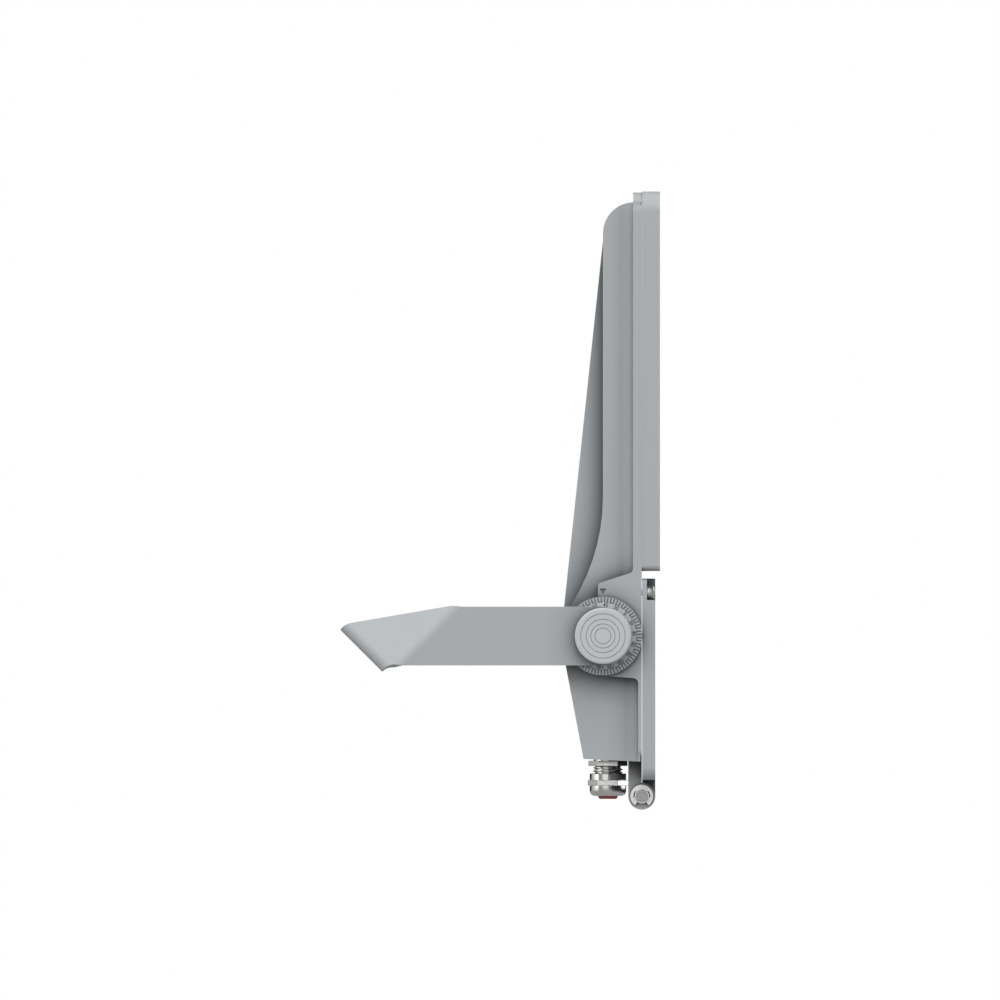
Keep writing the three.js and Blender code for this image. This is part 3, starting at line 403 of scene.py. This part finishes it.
# edges past these are rounded, or shaded sharp where a piece has no bevel; faces within FLAT_ANGLE merge
BEVEL_ANGLE = math.radians(32)
SHARP_ANGLE = math.radians(35)
FLAT_ANGLE = math.radians(0.6)
TINY = 1e-6


def at(x, y, z):
    """A place given in millimetres from the tilt axis's centre."""
    return PIVOT + Vector((x, y, z)) * MM


def piece_from(name, mesh, material, body, replaced=None, width=0.0):
    """Finishes a bmesh (in metres, in the part's frame) as a piece that rides on a body."""
    bmesh.ops.recalc_face_normals(mesh, faces=mesh.faces)
    data = bpy.data.meshes.new(name)
    mesh.to_mesh(data)
    mesh.free()
    for polygon in data.polygons:
        polygon.use_smooth = True
    piece = bpy.data.objects.new(name, data)
    bpy.context.collection.objects.link(piece)
    data.materials.append(material)
    if width:
        add_bevel(piece, width)
    else:
        data.set_sharp_from_angle(angle=SHARP_ANGLE)
    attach(piece, body)
    if replaced:
        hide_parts(replaced)
    return piece


def add_bevel(piece, width):
    """Rounds a piece's sharp edges by width, in millimetres."""
    bevel = piece.modifiers.new("bevel", "BEVEL")
    bevel.width = width * MM
    bevel.segments = 2
    bevel.limit_method = "ANGLE"
    bevel.angle_limit = BEVEL_ANGLE
    piece.modifiers.new("normals", "WEIGHTED_NORMAL")


def axis_frame(centre, axis, up=(0, 0, 1)):
    """A matrix whose Z runs along axis through centre and whose X is as near up as it can be."""
    forward = Vector(axis).normalized()
    side = Vector(up) - forward * forward.dot(Vector(up))
    if side.length < TINY:
        side = Vector((0, 1, 0)) - forward * forward.y
    side.normalize()
    third = forward.cross(side)
    rotation = Matrix((side, third, forward)).transposed().to_4x4()
    return Matrix.Translation(centre) @ rotation


def lathe(mesh, frame_matrix, profile, steps=48):
    """Turns a profile of (radius, height) in millimetres about the frame's Z.

    A profile with no end on the axis is closed from its last point to its first.
    """
    rings = []
    for radius, height in profile:
        if radius < TINY:
            rings.append([mesh.verts.new(frame_matrix @ Vector((0, 0, height * MM)))])
            continue
        ring = []
        for step in range(steps):
            angle = 2 * math.pi * step / steps
            point = Vector((radius * math.cos(angle), radius * math.sin(angle), height)) * MM
            ring.append(mesh.verts.new(frame_matrix @ point))
        rings.append(ring)
    closed = len(rings[0]) > 1 and len(rings[-1]) > 1
    pairs = list(zip(rings, rings[1:])) + ([(rings[-1], rings[0])] if closed else [])
    for low, high in pairs:
        for step in range(steps):
            after = (step + 1) % steps
            if len(low) == 1 and len(high) == 1:
                continue
            if len(low) == 1:
                mesh.faces.new((low[0], high[step], high[after]))
            elif len(high) == 1:
                mesh.faces.new((low[step], low[after], high[0]))
            else:
                mesh.faces.new((low[step], low[after], high[after], high[step]))


def prism(mesh, frame_matrix, outline, low, high):
    """Stands an outline of (x, y) in millimetres up from low to high along the frame's Z."""
    bottom = [mesh.verts.new(frame_matrix @ (Vector((x, y, low)) * MM)) for x, y in outline]
    top = [mesh.verts.new(frame_matrix @ (Vector((x, y, high)) * MM)) for x, y in outline]
    mesh.faces.new(list(reversed(bottom)))
    mesh.faces.new(top)
    for index in range(len(outline)):
        after = (index + 1) % len(outline)
        mesh.faces.new((bottom[index], bottom[after], top[after], top[index]))


def regular(radius, sides, start=0.0):
    """A regular polygon's corners, as (x, y)."""
    angles = [start + 2 * math.pi * i / sides for i in range(sides)]
    return [(radius * math.cos(a), radius * math.sin(a)) for a in angles]


# ---------------------------------------------------------------- tilt dials, caps and pointers

# distances from the middle of the lamp along the tilt axis, in millimetres
PAD_FACE = 170.0
DIAL_BACK = 171.8
CAP_BACK = 178.8

DIAL_RADIUS = 26.7
TICK_TURN = 5
NUMBER_TURN = 20
LAST_NUMBER = 8
# the angle of zero, counted from up towards the front
ZERO_ANGLE = 45


def dial_frame(sign, x):
    """On the tilt axis, looking outwards: X is up, and angles grow towards the lamp's front."""
    matrix = axis_frame(at(sign * x, 0, 0), (sign, 0, 0))
    return matrix if sign > 0 else matrix @ Matrix.Scale(-1, 4, (0, 1, 0))


def make_dial(side, sign):
    """The protractor disc: raised ticks in a recessed band, and numbers both ways from zero."""
    base, band, face = 0.0, 1.6, 2.4
    bore, rim = 5.6, DIAL_RADIUS
    mesh = bmesh.new()
    matrix = dial_frame(sign, DIAL_BACK)
    profile = [(bore, base), (rim - 0.2, base), (rim, 0.3), (rim, band), (22.9, band),
               (22.6, face - 0.1), (22.4, face), (bore, face)]
    lathe(mesh, matrix, profile, 96)
    for step in range(360 // TICK_TURN):
        inner = 22.7 if step % 2 == 0 else 23.5
        turn = matrix @ Matrix.Rotation(math.radians(TICK_TURN * step), 4, "Z")
        tick = [(inner, -0.55), (26.6, -0.65), (26.6, 0.65), (inner, 0.55)]
        prism(mesh, turn, tick, band - 0.2, face)
    piece_from(f"dial_scale_{side}", mesh, DIAL_PLASTIC, "yoke", f"dial_{side}")
    mesh = bmesh.new()
    floor_low, floor_high = band - 0.1, band + 0.05
    inner, outer = 22.8, rim - 0.3
    floor = [(inner, floor_low), (outer, floor_low), (outer, floor_high), (inner, floor_high)]
    lathe(mesh, matrix, floor, 96)
    piece_from(f"dial_band_{side}", mesh, DIAL_HOLLOW, "yoke")
    for index in range(-LAST_NUMBER, LAST_NUMBER + 1):
        angle = math.radians(ZERO_ANGLE + NUMBER_TURN * index)
        name = f"dial_number_{side}_{index + LAST_NUMBER}"
        number_on(matrix, name, str(abs(index) * NUMBER_TURN), angle, face)


def number_on(matrix, name, text, angle, height):
    """A dark printed number on the dial, its top outwards, kept unmirrored on the left side."""
    number_radius, size, thickness = 20.1, 3.4, 0.04
    curve = bpy.data.curves.new(name, "FONT")
    curve.body = text
    curve.size = size * MM
    curve.offset = 0.05 * MM
    curve.align_x = "CENTER"
    curve.extrude = thickness * MM
    number = bpy.data.objects.new(name, curve)
    number.data.materials.append(DIAL_MARKS)
    bpy.context.collection.objects.link(number)
    turned = matrix @ Matrix.Rotation(angle, 4, "Z")
    sign = 1 if matrix.determinant() > 0 else -1
    place = Matrix.Translation(Vector((number_radius, 0, height + 0.02)) * MM)
    upright = Matrix.Rotation(-math.pi / 2, 4, "Z")
    number.matrix_world = turned @ Matrix.Scale(sign, 4, (0, 1, 0)) @ (place @ upright)
    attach(number, "yoke")


def make_cap(side, sign):
    """The pivot cap: a shallow cup with four fine ring grooves in its end."""
    radius, bore, height, skin, round_radius = 19.2, 17.2, 9.8, 2.0, 1.2
    depth, half = 0.7, 0.34
    mesh = bmesh.new()
    profile = [(0, height)]
    for groove in (5.4, 8.2, 11.4, 15.1):
        profile += [(groove - half, height), (groove - 0.6 * half, height - depth),
                    (groove + 0.6 * half, height - depth), (groove + half, height)]
    for step in range(6):
        angle = math.radians(90 - 18 * step)
        profile.append((radius - round_radius + round_radius * math.cos(angle),
                        height - round_radius + round_radius * math.sin(angle)))
    profile += [(radius, 0.2), (radius - 0.2, 0), (bore, 0), (bore, height - skin), (0, height - skin)]
    lathe(mesh, axis_frame(at(sign * CAP_BACK, 0, 0), (sign, 0, 0)), profile, 96)
    cap = f"pivot_cap_{side}"
    piece_from(f"ringed_cap_{side}", mesh, CAP_PLASTIC, cap, cap)


def make_pointer(side, sign):
    """The dark mark on the head that the dial is read against: a bar over a small arrow."""
    mesh = bmesh.new()
    matrix = dial_frame(sign, PAD_FACE)
    for outline in ([(32.3, -1.8), (32.3, 1.8), (30.9, 1.8), (30.9, -1.8)],
                    [(30.5, -1.1), (30.5, 1.1), (28.9, 0.0)]):
        prism(mesh, matrix, outline, -0.1, 0.06)
    piece_from(f"pointer_{side}", mesh, DIAL_MARKS, "head")


# ---------------------------------------------------------------- frame joint and screws

def rounded_rectangle(half_width, bottom, top, low_radius, high_radius, steps=8):
    """The outline of a panel seen from the front, as (x, z)."""
    corners = [(half_width, top, high_radius, 0), (-half_width, top, high_radius, 90),
               (-half_width, bottom, low_radius, 180), (half_width, bottom, low_radius, 270)]
    outline = []
    for x, z, radius, start in corners:
        centre_x = x - math.copysign(radius, x)
        centre_z = z - radius if z == top else z + radius
        for step in range(steps + 1):
            angle = math.radians(start + 90 * step / steps)
            outline.append((centre_x + radius * math.cos(angle), centre_z + radius * math.sin(angle)))
    return outline


def make_frame_joint():
    """The painted-over bead of sealant that closes the joint between the housing and the front frame."""
    low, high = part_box("front_frame")
    half_width = high[0] / MM
    bottom = (low[2] - PIVOT.z) / MM
    top = (high[2] - PIVOT.z) / MM - 0.7
    joint = (high[1] - PIVOT.y) / MM
    half_bead, sunk, proud = 1.0, 1.6, -0.04
    near, far = joint - half_bead, joint + half_bead
    mesh = bmesh.new()
    rings = []
    for inset, depth in ((sunk, near), (proud, near), (proud, far), (sunk, far)):
        outline = rounded_rectangle(half_width - inset, bottom + inset, top - inset, 4, 14 - inset)
        rings.append([mesh.verts.new(at(x, depth, z)) for x, z in outline])
    count = len(rings[0])
    for first, second in zip(rings, rings[1:] + rings[:1]):
        for index in range(count):
            after = (index + 1) % count
            mesh.faces.new((first[index], first[after], second[after], second[index]))
    piece_from("frame_joint_bead", mesh, PAINT, "head")


def make_socket_screw(node, body, head_radius, head):
    """A pan-headed screw along Y with a hexagon socket, made to its CAD node's box; head is a length."""
    dome = 0.5
    low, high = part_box(node)
    centre = Vector(((low[0] + high[0]) / 2, low[1], (low[2] + high[2]) / 2))
    length = (high[1] - low[1]) / MM
    matrix = axis_frame(centre, (0, 1, 0))
    shank = 0.46 * head_radius
    socket = 0.5 * head_radius
    mesh = bmesh.new()
    profile = [(socket, 0.05), (head_radius - dome - 0.5, 0.0), (head_radius - 0.25, dome),
               (head_radius, dome + 0.4), (head_radius, head), (shank, head), (shank, length - 0.6),
               (shank - 0.6, length), (0.0, length), (0.0, head - 0.5), (socket * 0.9, head - 0.6)]
    lathe(mesh, matrix, profile, 36)
    piece_from(f"{node}_turned", mesh, STAINLESS, body, node)
    mesh = bmesh.new()
    prism(mesh, matrix, regular(socket * 0.92, 6), head - 0.75, head - 0.55)
    piece_from(f"{node}_socket", mesh, BLACK_PLASTIC, body)


# ---------------------------------------------------------------- hinge clips

def make_hinge_clip(side, sign):
    """An E-shaped clip, open downwards, whose three teeth reach into the pin's groove.

    The ring runs to half_mouth either side of straight up; the end teeth are that long along it.
    """
    low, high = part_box(f"hinge_clip_{side}")
    near = min(abs(low[0]), abs(high[0])) / MM
    thickness = (high[0] - low[0]) / MM
    centre = Vector((sign * near * MM, HINGE.y, HINGE.z))
    matrix = axis_frame(centre, (sign, 0, 0))
    outer_radius, gap_radius, tooth_radius = 7.8, 5.7, 4.4
    half_mouth, half_tooth, end_tooth = (math.radians(degrees) for degrees in (143, 50, 42))
    steps = 96
    inner = []
    outer = []
    for step in range(steps + 1):
        angle = -half_mouth + 2 * half_mouth * step / steps
        on_tooth = abs(angle) < half_tooth or abs(angle) > half_mouth - end_tooth
        reach = tooth_radius if on_tooth else gap_radius
        inner.append((reach * math.cos(angle), reach * math.sin(angle)))
        outer.append((outer_radius * math.cos(angle), outer_radius * math.sin(angle)))
    mesh = bmesh.new()
    levels = []
    for height in (0.0, thickness):
        rows = []
        for outline in (inner, outer):
            rows.append([mesh.verts.new(matrix @ (Vector((x, y, height)) * MM)) for x, y in outline])
        levels.append(rows)
    (low_in, low_out), (high_in, high_out) = levels
    for index in range(steps):
        after = index + 1
        mesh.faces.new((low_in[index], low_in[after], low_out[after], low_out[index]))
        mesh.faces.new((high_in[index], high_out[index], high_out[after], high_in[after]))
        mesh.faces.new((low_in[index], high_in[index], high_in[after], low_in[after]))
        mesh.faces.new((low_out[index], low_out[after], high_out[after], high_out[index]))
    for end in (0, steps):
        mesh.faces.new((low_in[end], low_out[end], high_out[end], high_in[end]))
    piece_from(f"e_clip_{side}", mesh, BRIGHT_ZINC, "head", f"hinge_clip_{side}")


# ---------------------------------------------------------------- cable gland

THREAD_RADIUS = 9.7
THREAD_PITCH = 2.2
# heights from the tilt axis's level
BODY_BOTTOM, BODY_TOP = -100.5, -71.0
HEXAGON_LOW, HEXAGON_HIGH = -88.4, -84.8
NUT_BOTTOM, NUT_TOP = -108.8, -93.5
BELT_LOW, BELT_HIGH = -101.9, -97.8
SEAL_BOTTOM, SEAL_TOP = -110.8, -92.4


def make_thread(mesh, matrix, radius, depth, pitch, low, high, steps=40):
    """A screw thread's ridge, wound about the frame's Z from low to high."""
    turns = (high - low) / pitch
    count = int(turns * steps)
    rows = []
    for step in range(count + 1):
        angle = 2 * math.pi * step / steps
        height = low + pitch * step / steps
        fade = min(1.0, step / (0.2 * steps), (count - step) / (0.2 * steps))
        crest = radius - depth * (1 - fade)
        row = []
        for reach, offset in ((radius - depth - 0.2, -0.46), (crest, -0.09), (crest, 0.09),
                              (radius - depth - 0.2, 0.46)):
            x, y = reach * math.cos(angle), reach * math.sin(angle)
            point = Vector((x, y, height + offset * pitch)) * MM
            row.append(mesh.verts.new(matrix @ point))
        rows.append(row)
    for low_row, high_row in zip(rows, rows[1:]):
        for index in range(4):
            after = (index + 1) % 4
            mesh.faces.new((low_row[index], low_row[after], high_row[after], high_row[index]))
    mesh.faces.new(rows[0])
    mesh.faces.new(list(reversed(rows[-1])))


def gland_matrix():
    """On the gland's axis with heights measured from the tilt axis's level."""
    return Matrix.Translation((GLAND.x, GLAND.y, PIVOT.z))


def make_gland_body():
    """The gland's threaded body with its chamfered hexagon under the housing."""
    matrix = gland_matrix()
    core = THREAD_RADIUS - 1.1
    mesh = bmesh.new()
    bore = 7.5
    profile = [(bore, BODY_BOTTOM), (core - 0.4, BODY_BOTTOM), (core, BODY_BOTTOM + 0.4), (core, -86.0),
               (THREAD_RADIUS, -85.9), (THREAD_RADIUS, BODY_TOP - 0.4), (THREAD_RADIUS - 0.5, BODY_TOP),
               (bore, BODY_TOP)]
    lathe(mesh, matrix, profile, 64)
    make_thread(mesh, matrix, THREAD_RADIUS + 0.4, 1.4, THREAD_PITCH, -99.0, -88.5)
    piece_from("gland_threaded_body", mesh, NICKEL, "head", "gland_body")
    mesh = bmesh.new()
    hexagon_nut(mesh, matrix, 13.4, THREAD_RADIUS - 0.4, HEXAGON_LOW, HEXAGON_HIGH)
    piece_from("gland_hexagon", mesh, NICKEL, "head", width=0.25)


def hexagon_nut(mesh, matrix, radius, bore, low, high):
    """A hexagon ring with one flat facing left."""
    outer = regular(radius, 6, math.pi / 6)
    inner = []
    for index in range(6):
        inner.append((bore * outer[index][0] / radius, bore * outer[index][1] / radius))
    rings = []
    for outline, height in ((outer, low), (outer, high), (inner, high), (inner, low)):
        rings.append([mesh.verts.new(matrix @ (Vector((x, y, height)) * MM)) for x, y in outline])
    for first, second in zip(rings, rings[1:] + rings[:1]):
        for index in range(6):
            after = (index + 1) % 6
            mesh.faces.new((first[index], first[after], second[after], second[index]))


def make_gland_nut():
    """The domed clamping nut and its hexagon belt."""
    matrix = gland_matrix()
    radius, round_radius, belt_seat = 12.4, 3.5, 11.2
    profile = [(8.2, NUT_BOTTOM + 0.3), (8.6, NUT_BOTTOM)]
    for step in range(9):
        angle = math.radians(-90 + 90 * step / 8)
        profile.append((radius - round_radius + round_radius * math.cos(angle),
                        NUT_BOTTOM + round_radius + round_radius * math.sin(angle)))
    profile += [(radius, BELT_LOW), (belt_seat, BELT_LOW), (belt_seat, BELT_HIGH), (radius, BELT_HIGH),
                (radius, NUT_TOP - 0.4), (radius - 0.4, NUT_TOP), (10.3, NUT_TOP), (10.1, NUT_TOP - 0.3),
                (10.1, -103.0), (8.2, -104.5)]
    mesh = bmesh.new()
    lathe(mesh, matrix, profile, 72)
    piece_from("gland_nut_dome", mesh, NICKEL, "gland_nut", "gland_nut")
    mesh = bmesh.new()
    hexagon_nut(mesh, matrix, 13.8, belt_seat - 0.1, BELT_LOW + 0.1, BELT_HIGH - 0.1)
    piece_from("gland_nut_belt", mesh, NICKEL, "gland_nut", width=0.25)


def make_gland_seal():
    """The rubber insert, with a rounded lip where the cable would enter."""
    profile = [(3.2, SEAL_BOTTOM + 0.4), (3.6, SEAL_BOTTOM), (5.6, SEAL_BOTTOM), (6.0, SEAL_BOTTOM + 0.3),
               (6.9, NUT_BOTTOM), (7.2, -106), (7.2, SEAL_TOP), (3.2, SEAL_TOP)]
    mesh = bmesh.new()
    lathe(mesh, gland_matrix(), profile, 48)
    piece_from("gland_seal_lip", mesh, SEAL_RUBBER, "head", "gland_seal")


# ---------------------------------------------------------------- lamp modules

LENS_COLUMNS = 4
LENS_ROWS = 6
LENS_RADIUS = 13.2
LENS_DIMPLE = 0.9
PLATE_THICKNESS = 4


def lens_places(low, high):
    for column in range(LENS_COLUMNS):
        for row in range(LENS_ROWS):
            x = low[0] + (high[0] - low[0]) * (column + 0.5) / LENS_COLUMNS
            z = low[2] + (high[2] - low[2]) * (row + 0.5) / LENS_ROWS
            yield x, z


def add_lens_cell(mesh, centre, half_x, half_z, rise, steps=32):
    """One dome with a dimple in its top, and the flat square of plate round it."""
    rings = [[]]
    for step in range(steps):
        angle = 2 * math.pi * step / steps
        across, up = math.cos(angle), math.sin(angle)
        reach = min(half_x / max(abs(across), TINY), half_z / max(abs(up), TINY))
        x, z = reach * across, reach * up
        if step % (steps // 4) == steps // 8:
            x, z = math.copysign(half_x, across), math.copysign(half_z, up)
        rings[0].append(mesh.verts.new(centre + Vector((x, 0, z))))
    for level in range(8):
        tilt = math.radians(90 * level / 8)
        radius, height = LENS_RADIUS * math.cos(tilt) * MM, rise * math.sin(tilt)
        ring = []
        for step in range(steps):
            angle = 2 * math.pi * step / steps
            place = Vector((radius * math.cos(angle), -height, radius * math.sin(angle)))
            ring.append(mesh.verts.new(centre + place))
        rings.append(ring)
    dimple = mesh.verts.new(centre + Vector((0, LENS_DIMPLE * MM - rise, 0)))
    for outer, inner in zip(rings, rings[1:]):
        for step in range(steps):
            after = (step + 1) % steps
            mesh.faces.new((outer[step], outer[after], inner[after], inner[step]))
    for step in range(steps):
        mesh.faces.new((rings[-1][step], rings[-1][(step + 1) % steps], dimple))


def make_lamp_module(side):
    """A clear plate of domed lenses in front of a white board with an LED under each."""
    low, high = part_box(f"lens_plate_{side}")
    back, front = high[1], low[1]
    plate_front = back - PLATE_THICKNESS * MM
    mesh = bmesh.new()
    rise = plate_front - front
    half_x = (high[0] - low[0]) / LENS_COLUMNS / 2
    half_z = (high[2] - low[2]) / LENS_ROWS / 2
    for x, z in lens_places(low, high):
        add_lens_cell(mesh, Vector((x, plate_front, z)), half_x, half_z, rise)
    bmesh.ops.remove_doubles(mesh, verts=mesh.verts, dist=0.02 * MM)
    rim = [edge for edge in mesh.edges if edge.is_boundary]
    walls = bmesh.ops.extrude_edge_only(mesh, edges=rim)["geom"]
    for item in walls:
        if isinstance(item, bmesh.types.BMVert):
            item.co.y = back
    bmesh.ops.contextual_create(mesh, geom=[edge for edge in mesh.edges if edge.is_boundary])
    piece_from(f"lens_array_{side}", mesh, LENS_PLASTIC, "head", f"lens_plate_{side}")
    board_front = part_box(f"led_board_{side}")[0][1]
    base = bmesh.new()
    glow = bmesh.new()
    for x, z in lens_places(low, high):
        place = axis_frame(Vector((x, board_front, z)), (0, -1, 0))
        prism(base, place, regular(5.0, 4, math.pi / 4), 0, 0.22)
        prism(glow, place, regular(2.9, 24), 0.2, 0.27)
    piece_from(f"led_packages_{side}", base, CAP_PLASTIC, "head")
    piece_from(f"led_emitters_{side}", glow, PHOSPHOR, "head")


# ---------------------------------------------------------------- CAD nodes that stay

# nodes that don't take their slot's material
NODE_MATERIALS = {"hinge_pin": PIN_STEEL}
# how wide the rounded edges are, in millimetres
EDGE_WIDTHS = {
    "hinge_pin": 0.25,
    "housing": 0.22, "front_frame": 0.5, "driver_cover": 0.15, "yoke_bracket": 0.5, "gear_tray": 0.3,
    "led_driver": 0.6, "terminal_block": 0.4, "surge_protector": 0.6, "front_glass": 0.4,
    "light_mask": 0.15,
}


def soften(node, width):
    """Rounds the sharp edges of a CAD node and smooths the shading of its curved faces."""
    weld = node.modifiers.new("weld", "WELD")
    weld.merge_threshold = TINY
    dissolve = node.modifiers.new("dissolve", "DECIMATE")
    dissolve.decimate_type = "DISSOLVE"
    dissolve.angle_limit = FLAT_ANGLE
    bevel = node.modifiers.new("bevel", "BEVEL")
    bevel.width = width * MM
    bevel.segments = 3
    bevel.limit_method = "ANGLE"
    bevel.angle_limit = BEVEL_ANGLE
    bevel.use_clamp_overlap = True
    bevel.harden_normals = False
    smooth = node.modifiers.new("normals", "WEIGHTED_NORMAL")
    smooth.keep_sharp = False


def finish_nodes():
    for name, node in frame["nodes"].items():
        material = NODE_MATERIALS.get(name, SLOT_MATERIALS[NODE_SLOTS[name]])
        for slot_index in range(len(node.material_slots)):
            node.material_slots[slot_index].link = "OBJECT"
            node.material_slots[slot_index].material = material
        if name in EDGE_WIDTHS:
            soften(node, EDGE_WIDTHS[name])


bpy.context.scene.view_settings.view_transform = "Standard"
make_camera()
make_studio()
finish_nodes()
for side_name, side_sign in SIDES.items():
    make_dial(side_name, side_sign)
    make_cap(side_name, side_sign)
    make_pointer(side_name, side_sign)
    make_hinge_clip(side_name, side_sign)
    make_lamp_module(side_name)
    make_socket_screw(f"cover_screw_{side_name}", f"cover_screw_{side_name}", 4.75, 4.8)
    make_socket_screw(f"tray_screw_{side_name}", "head", 3.7, 3.2)
for screw_number in range(1, 9):
    make_socket_screw(f"frame_screw_{screw_number}", "head", 3.8, 3.3)
make_frame_joint()
make_gland_body()
make_gland_nut()
make_gland_seal()
